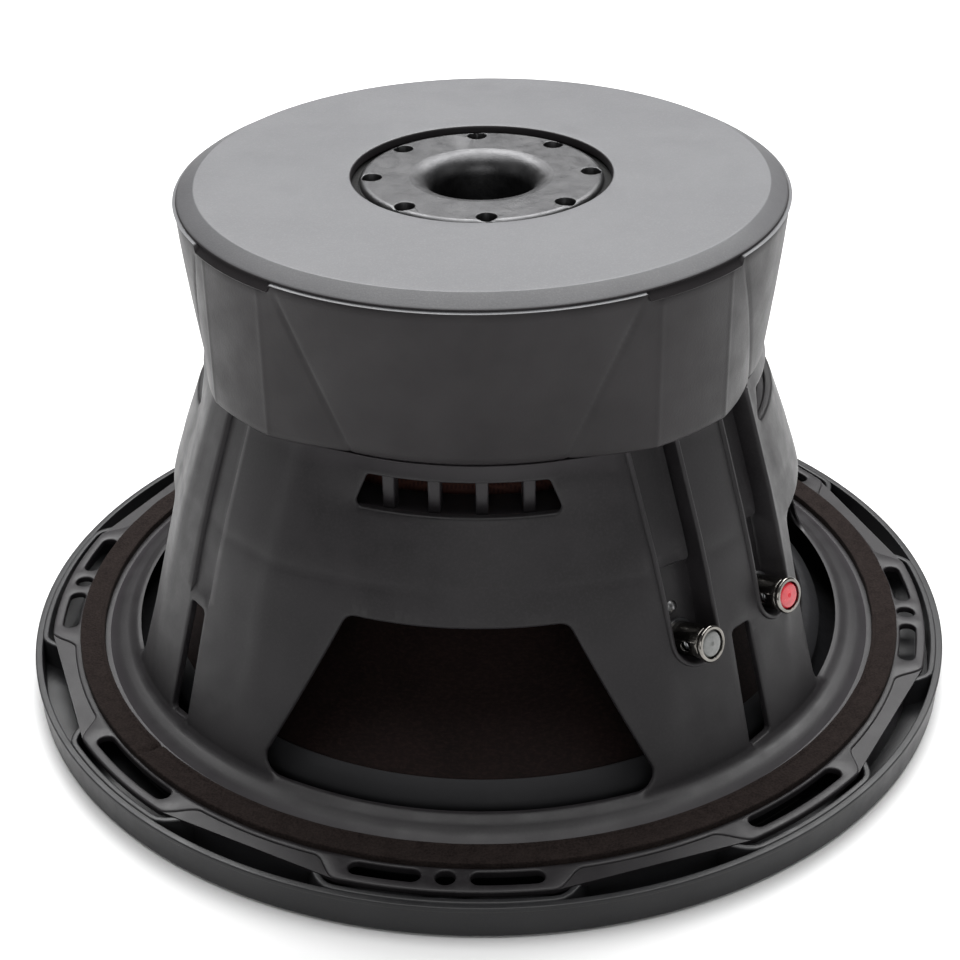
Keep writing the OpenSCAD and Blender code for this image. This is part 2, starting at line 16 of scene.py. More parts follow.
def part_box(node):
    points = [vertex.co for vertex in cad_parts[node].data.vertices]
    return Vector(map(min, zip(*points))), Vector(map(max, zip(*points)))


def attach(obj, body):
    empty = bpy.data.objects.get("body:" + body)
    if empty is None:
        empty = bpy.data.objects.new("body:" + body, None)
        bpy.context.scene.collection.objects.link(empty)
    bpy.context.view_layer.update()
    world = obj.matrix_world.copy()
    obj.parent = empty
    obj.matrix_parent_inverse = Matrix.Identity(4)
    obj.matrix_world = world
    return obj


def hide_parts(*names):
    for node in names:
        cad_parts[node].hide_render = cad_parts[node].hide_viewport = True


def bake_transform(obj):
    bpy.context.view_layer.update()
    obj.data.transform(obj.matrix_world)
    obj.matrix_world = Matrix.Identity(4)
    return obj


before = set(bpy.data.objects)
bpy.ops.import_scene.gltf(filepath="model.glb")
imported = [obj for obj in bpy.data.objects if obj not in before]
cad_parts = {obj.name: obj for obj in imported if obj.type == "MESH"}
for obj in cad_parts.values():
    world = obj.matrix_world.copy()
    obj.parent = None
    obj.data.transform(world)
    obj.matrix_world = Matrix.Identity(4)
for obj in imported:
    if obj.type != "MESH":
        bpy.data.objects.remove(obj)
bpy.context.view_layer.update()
MM = 0.001
BASKET = "basket_and_motor"
CONE = "cone_assembly"
random.seed(7)


def corners(node):
    """Lowest and highest corner of a CAD node, in millimetres."""
    low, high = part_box(node)
    return low / MM, high / MM


# ---------------------------------------------------------------- sizes, from the frame

trim_r = corners("trim_ring")[1].x
overall_h = corners("magnet_boot")[1].z
gasket_out_r = corners("rear_gasket")[1].x
flange_z, gasket_top = corners("rear_gasket")[0].z, corners("rear_gasket")[1].z
magnet_r = corners("front_magnet")[1].x
shoulder_z = corners("top_plate")[0].z
flange_t = 2.5
flange_under = flange_z - flange_t
wall_t = 3.0
foot_r, foot_z = trim_r - 35.5, flange_z + 4
crown_r = magnet_r + 4.4
knee_r, knee_z = crown_r + 13.6, shoulder_z - 37.5
bolt_r = trim_r - 12
plate_base_r, plate_tab_r = trim_r - 14, trim_r - 6
leg_turn = 49.0
post_z, post_x = shoulder_z - 62, 19.0
post_tilt = math.atan((foot_r - knee_r) / (knee_z - foot_z))
boot_r = magnet_r + 9.6


def polar(r, turn):
    return r * math.sin(math.radians(turn)), -r * math.cos(math.radians(turn))


def ease(t):
    t = min(1.0, max(0.0, t))
    return t * t * (3 - 2 * t)


def mix(a, b, t):
    return a + (b - a) * t


def away(turn, step):
    """Distance from a turn to the nearest multiple of step."""
    return abs(turn - step * round(turn / step))


WALL = [
    (crown_r, shoulder_z),
    (knee_r, knee_z),
    (foot_r, foot_z),
    (foot_r + 1.2, foot_z - 1.0),
    (foot_r + 3.0, foot_z - 1.6),
    (foot_r + 5.2, foot_z - 2.0),
    (foot_r + 7.2, foot_z - 2.9),
    (foot_r + 9.0, flange_z),
]


def wall_r(z):
    """Radius of the frame's outer skin at a height, with the knee rounded."""
    for (r0, z0), (r1, z1) in zip(WALL, WALL[1:]):
        if z >= z1 or z1 == WALL[-1][1]:
            r = mix(r0, r1, (z0 - z) / (z0 - z1))
            return r - 0.35 * max(0.0, 1 - abs(z - knee_z) / 6) ** 2


def skin_at(z):
    """Distance along the wall's outer skin from the flange up to a height."""
    total = 0.0
    for (r1, z1), (r0, z0) in zip(WALL[::-1], WALL[-2::-1]):
        length = math.hypot(r1 - r0, z1 - z0)
        if z <= z0:
            return total + length * (z - z1) / (z0 - z1)
        total += length
    return total


# ---------------------------------------------------------------- mesh helpers

MERGE_MM = 0.002
SHARP = math.radians(50)


def add_mesh(name, points, faces, material, body, nodes=(), slot=None):
    """A mesh piece from points in millimetres, riding on a body and standing for CAD nodes."""
    mesh = bpy.data.meshes.new(name)
    mesh.from_pydata([Vector(p) * MM for p in points], [], faces)
    bm = bmesh.new()
    bm.from_mesh(mesh)
    bmesh.ops.remove_doubles(bm, verts=bm.verts, dist=MERGE_MM * MM)
    bmesh.ops.recalc_face_normals(bm, faces=bm.faces)
    for face in bm.faces:
        face.smooth = True
    for edge in bm.edges:
        if len(edge.link_faces) == 2 and edge.calc_face_angle(0) > SHARP:
            edge.smooth = False
    bm.to_mesh(mesh)
    bm.free()
    obj = bpy.data.objects.new(name, mesh)
    bpy.context.scene.collection.objects.link(obj)
    mesh.materials.append(material)
    if body:
        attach(obj, body)
    if nodes:
        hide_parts(*nodes)
    return obj


def soften(outline, n=4):
    """A closed outline of (a, b, radius) corners with each corner rounded, as a list of (a, b)."""
    made = []
    count = len(outline)
    for i, (a, b, radius) in enumerate(outline):
        here = Vector((a, b))
        before = Vector(outline[i - 1][:2]) - here
        after = Vector(outline[(i + 1) % count][:2]) - here
        if radius <= 0:
            made.append((a, b))
            continue
        u, v = before.normalized(), after.normalized()
        half = math.acos(max(-1.0, min(1.0, u.dot(v)))) / 2
        reach = min(radius / math.tan(half), before.length * 0.49, after.length * 0.49)
        for k in range(n + 1):
            t = k / n
            point = here + u * reach * (1 - t) ** 2 + v * reach * t**2
            made.append((point.x, point.y))
    return made


def spaced(points, step, closed=True):
    """The same line with no stretch longer than step."""
    made = []
    ends = points[1:] + points[:1] if closed else points[1:]
    for p, q in zip(points, ends):
        parts = max(1, math.ceil(math.dist(p, q) / step))
        made += [tuple(mix(a, b, k / parts) for a, b in zip(p, q)) for k in range(parts)]
    return made if closed else made + [points[-1]]


def lathe_parts(outline, steps, warp=None):
    """Points and faces of a closed outline of (r, z) turned about Z.

    warp(i, turn, r, z) gives the (r, z) that the outline's point i has at a turn.
    """
    points = []
    for s in range(steps):
        turn = 360 * s / steps
        for i, (r, z) in enumerate(outline):
            if warp:
                r, z = warp(i, turn, r, z)
            points.append((*polar(r, turn), z))
    n = len(outline)
    faces = []
    for s in range(steps):
        a, b = s * n, (s + 1) % steps * n
        for i in range(n):
            j = (i + 1) % n
            faces.append((a + i, b + i, b + j, a + j))
    return points, faces


def joined(*parts):
    points, faces = [], []
    for some_points, some_faces in parts:
        base = len(points)
        points += list(some_points)
        faces += [tuple(i + base for i in face) for face in some_faces]
    return points, faces


def tube_parts(path, radius, sides):
    """A round tube with closed ends along a path of points."""
    path = [Vector(p) for p in path]
    points, faces, last = [], [], None
    for i, p in enumerate(path):
        along = (path[min(i + 1, len(path) - 1)] - path[max(i - 1, 0)]).normalized()
        if last is None:
            last = along.orthogonal().normalized()
        side = (last - along * last.dot(along)).normalized()
        last = side
        up = along.cross(side)
        for k in range(sides):
            a = 2 * math.pi * k / sides
            points.append(p + (side * math.cos(a) + up * math.sin(a)) * radius)
    for i in range(len(path) - 1):
        for k in range(sides):
            a, b = i * sides + k, i * sides + (k + 1) % sides
            faces.append((a, b, b + sides, a + sides))
    faces.append(tuple(range(sides)))
    faces.append(tuple((len(path) - 1) * sides + k for k in range(sides)))
    return points, faces


def moved(parts, matrix):
    return [matrix @ Vector(p) for p in parts[0]], parts[1]


def block_parts(low, high, radius):
    """A box with its edges rounded."""
    bm = bmesh.new()
    bmesh.ops.create_cube(bm, size=1)
    size = Vector(high) - Vector(low)
    middle = (Vector(high) + Vector(low)) / 2
    for v in bm.verts:
        v.co = Vector(a * b for a, b in zip(v.co, size)) + middle
    bmesh.ops.bevel(bm, geom=bm.edges[:], offset=radius, segments=3, affect="EDGES", profile=0.5)
    bm.verts.index_update()
    made = [v.co.copy() for v in bm.verts], [tuple(v.index for v in f.verts) for f in bm.faces]
    bm.free()
    return made


def inside(point, loop):
    x, y = point
    found = False
    for (x0, y0), (x1, y1) in zip(loop, loop[1:] + loop[:1]):
        if (y0 > y) != (y1 > y) and x < (x1 - x0) * (y - y0) / (y1 - y0) + x0:
            found = not found
    return found


def triangles(flat, lines, holes):
    """Triangles over flat points that keep the given lines as edges and leave the holes open."""
    edges = [edge for line in lines for edge in zip(line, line[1:])]
    out, _, faces, origin, _, _ = delaunay_2d_cdt([Vector(p) for p in flat], edges, [], 0, 1e-4)
    made = []
    for face in faces:
        middle = sum((out[i] for i in face), Vector((0, 0))) / len(face)
        if not any(inside(middle, hole) for hole in holes):
            made.append(tuple(origin[i][0] for i in face))
    return made


def border(faces):
    """Directed edges that belong to one face only."""
    seen = dict.fromkeys(edge for face in faces for edge in zip(face, face[1:] + face[:1]))
    return [e for e in seen if (e[1], e[0]) not in seen]


EDGE_STEPS = (0.0, 0.04, 0.16, 0.42, 1.0)


def edge_drop(gap, radius):
    """How far a rounded edge has fallen at a gap from the cut."""
    if gap >= radius:
        return 0.0
    return radius - math.sqrt(radius**2 - (radius - gap) ** 2)


def grown(outline, radius, gap, n=5):
    """A convex outline with its corners rounded, moved outwards by gap."""
    made = []
    count = len(outline)
    for i in range(count):
        here = Vector(outline[i])
        u = (Vector(outline[i - 1]) - here).normalized()
        v = (Vector(outline[(i + 1) % count]) - here).normalized()
        half = math.acos(u.dot(v)) / 2
        middle = here + (u + v).normalized() * radius / math.sin(half)
        start = here + u * radius / math.tan(half) - middle
        end = here + v * radius / math.tan(half) - middle
        for k in range(n + 1):
            point = start.lerp(end, k / n).normalized() * (radius + gap) + middle
            made.append((point.x, point.y))
    return made


# ---------------------------------------------------------------- materials


class Paint:
    """A procedural material: a base shader with layers of colour, roughness and relief added by name."""

    def __init__(self, name, rough=0.5, metal=0.0, specular=0.5, coat=0.0, coat_rough=0.3, sheen=0.0):
        self.material = bpy.data.materials.new(name)
        self.material.use_nodes = True
        self.tree = self.material.node_tree
        self.shader = self.tree.nodes["Principled BSDF"]
        self.shader.inputs["Roughness"].default_value = rough
        self.shader.inputs["Metallic"].default_value = metal
        self.shader.inputs["Specular IOR Level"].default_value = specular
        self.shader.inputs["Coat Weight"].default_value = coat
        self.shader.inputs["Coat Roughness"].default_value = coat_rough
        self.shader.inputs["Sheen Weight"].default_value = sheen
        self.place = self.tree.nodes.new("ShaderNodeTexCoord").outputs["Object"]
        self.normal = None

    def node(self, kind, **inputs):
        made = self.tree.nodes.new(kind)
        for name, value in inputs.items():
            socket = made.inputs[name.replace("_", " ")]
            if isinstance(value, bpy.types.NodeSocket):
                self.tree.links.new(value, socket)
            else:
                socket.default_value = value
        return made

    def stretched(self, scale):
        return self.node("ShaderNodeMapping", Vector=self.place, Scale=scale).outputs["Vector"]

    def noise(self, grain_mm, detail=3.0, rough=0.55, place=None):
        """Noise whose lumps are about grain_mm wide."""
        vector, scale = place or self.place, 1 / (grain_mm * MM)
        made = self.node("ShaderNodeTexNoise", Vector=vector, Scale=scale, Detail=detail, Roughness=rough)
        return made.outputs["Fac"]

    def ramp(self, value, low, high, a, b):
        """Maps value from low..high to the two numbers or colours a and b."""
        if isinstance(a, (int, float)):
            made = self.node("ShaderNodeMapRange", Value=value)
            for name, number in (("From Min", low), ("From Max", high), ("To Min", a), ("To Max", b)):
                made.inputs[name].default_value = number
            return made.outputs["Result"]
        made = self.node("ShaderNodeValToRGB", Fac=value)
        made.color_ramp.elements[0].position = low
        made.color_ramp.elements[0].color = (*a, 1)
        made.color_ramp.elements[1].position = high
        made.color_ramp.elements[1].color = (*b, 1)
        return made.outputs["Color"]

    def blend(self, share, a, b):
        made = self.tree.nodes.new("ShaderNodeMix")
        made.data_type = "RGBA"
        for socket, value in ((made.inputs[0], share), (made.inputs[6], a), (made.inputs[7], b)):
            if isinstance(value, bpy.types.NodeSocket):
                self.tree.links.new(value, socket)
            else:
                socket.default_value = value if isinstance(value, float) else (*value, 1)
        return made.outputs[2]

    def color(self, socket):
        self.tree.links.new(socket, self.shader.inputs["Base Color"])
        return self

    def roughness(self, socket):
        self.tree.links.new(socket, self.shader.inputs["Roughness"])
        return self

    def bump(self, socket, depth_mm, strength=1.0):
        made = self.node("ShaderNodeBump", Height=socket, Strength=strength, Distance=depth_mm * MM)
        if self.normal:
            self.tree.links.new(self.normal, made.inputs["Normal"])
        self.normal = made.outputs["Normal"]
        self.tree.links.new(self.normal, self.shader.inputs["Normal"])
        return self

    def worn(self, base, edge):
        """Colour that lightens a little where the mesh's edges stand out."""
        point = self.tree.nodes.new("ShaderNodeNewGeometry").outputs["Pointiness"]
        return self.blend(self.ramp(point, 0.52, 0.6, 0.0, 1.0), base, edge)


def satin_plastic(name, dark, light, rough, specular, grain=0.35):
    """Moulded or coated satin black, with fine grain and faint handling marks."""
    p = Paint(name, rough, specular=specular)
    base = p.ramp(p.noise(18, 4), 0.35, 0.7, dark, light)
    fine = p.blend(p.ramp(p.noise(0.8, 2), 0.45, 0.75, 0.0, 0.5), base, tuple(c * 1.35 for c in light))
    p.color(p.worn(fine, tuple(c * 2.2 for c in light)))
    p.roughness(p.ramp(p.noise(9, 5, 0.65), 0.3, 0.7, rough - 0.05, rough + 0.08))
    p.bump(p.noise(grain, 2), 0.018, 0.55)
    p.bump(p.noise(6, 2), 0.05, 0.35)
    return p.material


def rubber_boot():
    """Moulded rubber with a fine grain. Its colour is much lighter on faces that look up than on its sides:
    painted top light.
    """
    p = Paint("boot_rubber", 0.46, specular=0.3)
    normal = p.tree.nodes.new("ShaderNodeNewGeometry").outputs["Normal"]
    # Painted top light: the share of the lighter colour grows as a face looks up.
    up = p.ramp(p.node("ShaderNodeSeparateXYZ", Vector=normal).outputs["Z"], 0.75, 0.97, 0.0, 1.0)
    side = p.ramp(p.noise(30, 4), 0.3, 0.7, (0.0115, 0.0098, 0.0108), (0.0185, 0.016, 0.0175))
    # Painted top light: the lighter colour, with lighter specks, of faces that look up.
    top = p.ramp(p.noise(34, 4), 0.3, 0.7, (0.112, 0.113, 0.119), (0.126, 0.127, 0.133))
    speck = p.ramp(p.noise(0.55, 2), 0.5, 0.72, 0.0, 0.45)
    top = p.blend(speck, top, (0.17, 0.17, 0.175))
    p.color(p.blend(up, side, top))
    p.roughness(p.ramp(p.noise(12, 5, 0.6), 0.3, 0.7, 0.42, 0.54))
    p.bump(p.noise(0.75, 3, 0.6), 0.07, 0.75)
    p.bump(p.noise(26, 2), 0.12, 0.25)
    return p.material


def foam():
    p = Paint("gasket_foam", 0.92, specular=0.05, sheen=0.01)
    cells = p.node("ShaderNodeTexVoronoi", Vector=p.place, Scale=1 / (0.75 * MM)).outputs["Distance"]
    base = p.ramp(p.noise(5, 4, 0.6), 0.3, 0.75, (0.006, 0.0042, 0.004), (0.016, 0.012, 0.011))
    p.color(p.blend(p.ramp(cells, 0.15, 0.75, 0.0, 0.6), base, (0.024, 0.018, 0.0165)))
    p.bump(cells, 0.22, 0.8)
    p.bump(p.noise(2.2, 3), 0.2, 0.6)
    return p.material


def soft_rubber():
    p = Paint("surround_rubber", 0.5, specular=0.14)
    base = p.ramp(p.noise(14, 3), 0.3, 0.7, (0.0035, 0.0035, 0.004), (0.008, 0.008, 0.009))
    p.color(p.worn(base, (0.03, 0.03, 0.032)))
    p.roughness(p.ramp(p.noise(5, 4), 0.3, 0.7, 0.48, 0.62))
    p.bump(p.noise(0.5, 2), 0.02, 0.5)
    return p.material


def pulp():
    """Pressed paper of the cone, full of short fibres."""
    p = Paint("cone_pulp", 0.7, specular=0.1)
    fibre = p.noise(1.6, 6, 0.7, p.stretched((1, 1, 2.6)))
    base = p.ramp(p.noise(25, 4), 0.3, 0.7, (0.0045, 0.0025, 0.0022), (0.009, 0.0048, 0.0044))
    p.color(p.blend(p.ramp(fibre, 0.45, 0.7, 0.0, 0.5), base, (0.024, 0.013, 0.011)))
    p.bump(fibre, 0.12, 0.7)
    p.bump(p.noise(8, 3), 0.3, 0.3)
    return p.material


def cloth():
    """Resin treated cloth of the spider, with its weave."""
    p = Paint("spider_cloth", 0.75, specular=0.3, sheen=0.15)
    weave = []
    for way in ("X", "Y"):
        wave = p.node("ShaderNodeTexWave", Vector=p.place, Scale=1 / (4.2 * MM), Distortion=0.4)
        wave.bands_direction = way
        weave.append(wave.outputs["Fac"])
    both = p.node("ShaderNodeMath")
    both.operation = "MAXIMUM"
    for socket, wave in zip(both.inputs, weave):
        p.tree.links.new(wave, socket)
    threads = both.outputs["Value"]
    base = p.ramp(p.noise(12, 3), 0.3, 0.7, (0.030, 0.006, 0.005), (0.052, 0.014, 0.010))
    p.color(p.blend(p.ramp(threads, 0.2, 0.9, 0.0, 0.7), base, (0.085, 0.028, 0.018)))
    p.bump(threads, 0.12, 0.7)
    return p.material


def metal(name, dark, light, rough, grain=0.4, depth=0.02, polish=False, ring=False, painted_shade_from=None):
    """Plated or machined metal. ring adds fine turning marks about Z, and the last argument is a radius in
    millimetres beyond which the colour is black: painted shade."""
    p = Paint(name, rough, metal=1.0)
    base = p.ramp(p.noise(7, 5, 0.6), 0.3, 0.7, dark, light)
    base = p.worn(base, tuple(min(1.0, c * 1.25) for c in light))
    # Painted shade: past this radius the steel is coloured black, for the deep gap around the boot's opening
    # that lies in shadow.
    if painted_shade_from:
        flat = p.node("ShaderNodeVectorMath", Vector=p.stretched((1, 1, 0)))
        flat.operation = "LENGTH"
        share = p.ramp(flat.outputs["Value"], painted_shade_from * MM, (painted_shade_from + 0.1) * MM, 0.0, 1.0)
        base = p.blend(share, base, (0.006, 0.006, 0.006))
    p.color(base)
    p.roughness(p.ramp(p.noise(4, 5, 0.65), 0.3, 0.7, rough - 0.04, rough + 0.1))
    if ring:
        wave = p.node("ShaderNodeTexWave", Vector=p.place, Scale=1 / (2.2 * MM), Distortion=0.6)
        wave.wave_type = "RINGS"
        wave.rings_direction = "Z"
        p.bump(wave.outputs["Fac"], 0.012, 0.5)
    if not polish:
        p.bump(p.noise(grain, 3, 0.6), depth, 0.6)
    return p.material


def ferrite():
    p = Paint("ferrite", 0.62)
    p.color(p.ramp(p.noise(2.5, 6, 0.7), 0.3, 0.75, (0.03, 0.03, 0.032), (0.075, 0.073, 0.072)))
    p.bump(p.noise(1.1, 4, 0.7), 0.05, 0.6)
    return p.material


def gloss(name, dark, light, rough=0.16):
    """Polished plastic with a faint flow pattern under its surface."""
    p = Paint(name, rough, specular=0.6, coat=0.4, coat_rough=0.08)
    p.color(p.ramp(p.noise(2.4, 4), 0.3, 0.7, dark, light))
    p.roughness(p.ramp(p.noise(1.5, 4), 0.3, 0.7, rough, rough + 0.12))
    p.bump(p.noise(0.9, 2), 0.01, 0.4)
    return p.material


def braid():
    p = Paint("tinsel_braid", 0.5, metal=0.35)
    wave = p.node("ShaderNodeTexWave", Vector=p.place, Scale=1 / (3.0 * MM), Distortion=1.5, Detail=2.0)
    wave.bands_direction = "DIAGONAL"
    p.color(p.ramp(wave.outputs["Fac"], 0.2, 0.8, (0.25, 0.15, 0.09), (0.62, 0.5, 0.38)))
    p.bump(wave.outputs["Fac"], 0.15, 0.8)
    return p.material


def copper_winding():
    """Layers of enamelled wire, one turn above the other."""
    p = Paint("copper_winding", 0.32, metal=1.0)
    wave = p.node("ShaderNodeTexWave", Vector=p.place, Scale=1 / (10.0 * MM), Distortion=0.15)
    wave.bands_direction = "Z"
    p.color(p.ramp(wave.outputs["Fac"], 0.1, 0.9, (0.25, 0.07, 0.03), (0.62, 0.26, 0.13)))
    p.bump(wave.outputs["Fac"], 0.2, 0.8)
    return p.material


trim_black = satin_plastic("trim_black", (0.0085, 0.0085, 0.0095), (0.014, 0.014, 0.015), 0.38, 0.3)
basket_black = satin_plastic(
    "basket_black", (0.0105, 0.0095, 0.0105), (0.0165, 0.015, 0.0165), 0.42, 0.28, grain=0.5
)
cap_black = satin_plastic("cap_black", (0.010, 0.010, 0.011), (0.018, 0.018, 0.02), 0.32, 0.4)
boot_rubber = rubber_boot()
gasket_foam = foam()
surround_rubber = soft_rubber()
cone_pulp = pulp()
spider_cloth = cloth()
# Black beyond the pole's rim: painted shade in the gap under the boot's opening.
plate_steel = metal(
    "plate_steel", (0.062, 0.062, 0.064), (0.092, 0.092, 0.094), 0.4, grain=0.7, depth=0.09, painted_shade_from=39.75
)
turned_steel = metal("turned_steel", (0.42, 0.42, 0.43), (0.58, 0.58, 0.59), 0.34, ring=True)
screw_steel = metal("screw_steel", (0.06, 0.06, 0.065), (0.11, 0.11, 0.12), 0.4)
former_foil = metal("former_foil", (0.5, 0.5, 0.52), (0.64, 0.64, 0.66), 0.3, depth=0.01)
post_chrome = metal("post_chrome", (0.14, 0.133, 0.122), (0.25, 0.238, 0.22), 0.14, polish=True)
rivet_metal = metal("rivet_metal", (0.16, 0.16, 0.162), (0.26, 0.26, 0.262), 0.3, polish=True)
spring_steel = metal("spring_steel", (0.5, 0.5, 0.52), (0.7, 0.7, 0.72), 0.25, polish=True)
eyelet_brass = metal("eyelet_brass", (0.5, 0.36, 0.16), (0.72, 0.56, 0.28), 0.28, polish=True)
magnet_ferrite = ferrite()
copper = copper_winding()
red_insert = gloss("red_insert", (0.50, 0.004, 0.016), (0.72, 0.012, 0.03))
grey_insert = gloss("grey_insert", (0.10, 0.105, 0.10), (0.16, 0.165, 0.16))
block_plastic = gloss("block_plastic", (0.012, 0.012, 0.014), (0.024, 0.024, 0.026), rough=0.3)
tinsel = braid()

# ---------------------------------------------------------------- frame: its wall, seat and flange


def plane_turn(x, r, turn):
    """Turn of the point at r that lies x beside the middle of a face that looks towards turn."""
    return turn + math.degrees(math.asin(x / r))


def relief(turn, z):
    """How far the panel between two legs sinks below the wall's surface, and the legs' soft ridges rise."""
    near, edge, ridge = away(turn - 90, 180), 18.4, 30.0
    if near > 41:
        near, edge, ridge = away(turn, 180), 18.0, mix(30.7, 33.6, ease((shoulder_z - z) / 60))
    sunk = 1 - ease((near - edge) / (ridge - edge))
    fade = ease((z - foot_z + 6) / 30)
    swell = 0.5 * math.exp(-(((near - ridge) / 1.8) ** 2)) * fade
    return swell - 2.6 * sunk * fade * mix(1.0, 0.55, ease((z - shoulder_z + 16) / 12))


PLAIN_LEGS = (-leg_turn, 180 - leg_turn, leg_turn - 180)
CHANNEL_FLOOR = 8.0
CHANNEL_BACK = -10.6
CHANNEL_HALF = 10.6
CHANNEL_RINGS = [
    # half width, outer skin, inner skin
    (10.9, 0.0, -wall_t),
    (10.1, 0.0, CHANNEL_BACK),
    (9.7, 0.05, CHANNEL_BACK),
    (9.45, 0.7, CHANNEL_BACK),
    (9.1, 1.0, CHANNEL_BACK),
    (8.5, 1.0, CHANNEL_BACK),
    (8.15, 0.7, CHANNEL_BACK),
    (7.95, 0.0, CHANNEL_BACK),
    (7.7, -7.2, CHANNEL_BACK),
    (7.2, -CHANNEL_FLOOR, CHANNEL_BACK),
]
CHANNEL_Z = post_z + 1.2
STEP_Z = shoulder_z - 41


def channel_floor(d, z):
    """The floor is shallower above the step, and hollowed along its middle."""
    high = ease((z - STEP_Z + 0.6) / 1.2)
    return -CHANNEL_FLOOR + high * (2.6 - 1.2 * (1 - (d / 7.2) ** 2))


def in_channel(turn, r):
    """Whether a point lies in one of the two channels of the terminals' leg."""
    a = math.radians(turn - leg_turn)
    x = r * math.sin(a)
    return math.cos(a) > 0 and min(abs(x - post_x), abs(x + post_x)) < CHANNEL_HALF


def wall_shell():
    """Outer and inner skin of the wall over one flat map of turn and height, joined at every cut."""
    flat, outer, inner, lines, cuts, zones = [], [], [], [], [], []
    scale = math.radians(1) * (foot_r + crown_r) / 2
    left, right = -220.0, 140.0

    def add(turn_out, turn_in, z, r_out, r_in, z_in):
        flat.append((turn_out * scale, skin_at(z)))
        outer.append((*polar(r_out, turn_out), z))
        inner.append((*polar(r_in, turn_in), z_in))
        return len(flat) - 1

    def inner_at(z, turn):
        if z >= foot_z:
            return wall_r(z) - wall_t + min(0.0, relief(turn, z)), z
        t = (foot_z - z) / (foot_z - flange_z)
        return mix(foot_r - wall_t, foot_r + 6, t), mix(foot_z, flange_under, t)

    def wrapped(turn):
        return turn - 360 if turn > right else turn

    def cut(face, outline, radius, edge, n=5, step=3.5):
        """A hole through the wall with its edges rounded on both skins."""
        for gap in [s * edge for s in EDGE_STEPS]:
            loop = []
            for x, z in spaced(grown(outline, radius, gap, n), step):
                r = wall_r(z)
                turn = wrapped(plane_turn(x, r, face))
                r_in, z_in = inner_at(z, turn)
                drop = edge_drop(gap, edge)
                turn_in = wrapped(plane_turn(x, r_in, face))
                loop.append(add(turn, turn_in, z, r + relief(turn, z) - drop, r_in + drop, z_in))
            lines.append(loop + loop[:1])
            if gap == 0:
                cuts.append([flat[i] for i in loop])
        zones.append([flat[i] for i in loop])

    def window(face, spread, top_z):
        top, low = (wall_r(z) * math.sin(math.radians(s)) for z, s in zip((top_z, foot_z), spread))
        cut(face, [(-low, foot_z), (low, foot_z), (top, top_z), (-top, top_z)], 5, 1.1)

    for face, spread in ((0, (18.3, 30.7)), (180, (18.3, 30.7)), (90, (18.6, 24.8)), (-90, (18.6, 24.8))):
        window(face, spread, shoulder_z - 48.3)
        high = shoulder_z - 5.2
        low = high - 10.3
        top, bottom = (wall_r(z) * math.sin(math.radians(s)) for z, s in ((high, 16.9), (low, 19.2)))
        cut(face, [(-bottom, low), (bottom, low), (top, high), (-top, high)], 1.6, 0.9, 4)
    for face in (leg_turn, *PLAIN_LEGS):
        top = post_z - 3
        cut(face, [(-5.2, foot_z), (5.2, foot_z + 1), (4.2, top), (-4.2, top)], 1.5, 0.8, 3)

    def channel_d(x, z):
        """Distance from the middle line of the nearest channel."""
        return min(math.hypot(x - c, min(0.0, z - CHANNEL_Z)) for c in (-post_x, post_x))

    for middle in (-post_x, post_x):
        for half, rise, sink in CHANNEL_RINGS:
            line = [(middle - half, z) for z in np.linspace(shoulder_z, CHANNEL_Z, 18)[:-1]]
            for a in np.linspace(0, math.pi, 15):
                line.append((middle - half * math.cos(a), CHANNEL_Z - half * math.sin(a)))
            line += [(middle + half, z) for z in np.linspace(CHANNEL_Z, shoulder_z, 18)[1:]]
            loop = []
            for x, z in line:
                r = wall_r(z)
                if half <= 7.2:
                    rise = channel_floor(half, z)
                turn = plane_turn(x, r, leg_turn)
                loop.append(add(turn, turn, z, r + rise, r + sink, z))
            lines.append(loop)
        for z in (STEP_Z - 0.6, STEP_Z + 0.6):
            loop = []
            for x in np.linspace(middle - 6.4, middle + 6.4, 9):
                r = wall_r(z)
                turn = plane_turn(x, r, leg_turn)
                loop.append(add(turn, turn, z, r + channel_floor(abs(x - middle), z), r + CHANNEL_BACK, z))
            lines.append(loop)

    groove = {0.0: -1.4, 0.35: -1.25, 0.6: -0.2, 0.9: 0.0}
    for face in PLAIN_LEGS:
        for side in (-1, 1):
            for gap, rise in groove.items():
                loop = []
                for z in np.linspace(post_z - 1.2, shoulder_z, 20):
                    r = wall_r(z)
                    turn = wrapped(plane_turn(side * (5.2 + gap), r, face))
                    loop.append(add(turn, turn, z, r + rise * ease((z - post_z + 1.2) / 4), r - wall_t, z))
                lines.append(loop)

    extra = {*(z for _, z in WALL), knee_z + 2, knee_z - 2, foot_z + 0.8, foot_z + 2}
    rows = sorted({*np.linspace(foot_z, shoulder_z, 30), *extra})
    for turn in np.linspace(left, right, 241):
        for z in rows:
            r, (r_in, z_in) = wall_r(z), inner_at(z, turn)
            if any(inside((turn * scale, skin_at(z)), zone) for zone in zones):
                continue
            rise = relief(turn, z)
            if abs(turn - leg_turn) < 30:
                d = channel_d(r * math.sin(math.radians(turn - leg_turn)), z)
                if 6.0 < d < 12.0 or (d <= 6.0 and abs(z - STEP_Z) < 2):
                    continue
                if d <= 6.0:
                    add(turn, turn, z, r + channel_floor(d, z), r + CHANNEL_BACK, z)
                    continue
            from_leg = min(abs((turn - f + 180) % 360 - 180) for f in PLAIN_LEGS)
            if from_leg < 20 and z > post_z - 1.2:
                beside = r * math.sin(math.radians(from_leg))
                if 4.6 < beside < 6.8:
                    continue
                if beside <= 4.6:
                    rise = -1.4 * ease((z - post_z + 1.2) / 4)
            add(turn, turn, z, r + rise, r_in, z_in)

    faces = triangles(flat, lines, cuts)
    n = len(flat)
    seam = {i for i, (u, _) in enumerate(flat) if min(abs(u - left * scale), abs(u - right * scale)) < 1e-6}
    skins = [tuple(face) for face in faces] + [tuple(i + n for i in reversed(face)) for face in faces]
    sides = [(b, a, a + n, b + n) for a, b in border(faces) if not (a in seam and b in seam)]
    return outer + inner, skins + sides


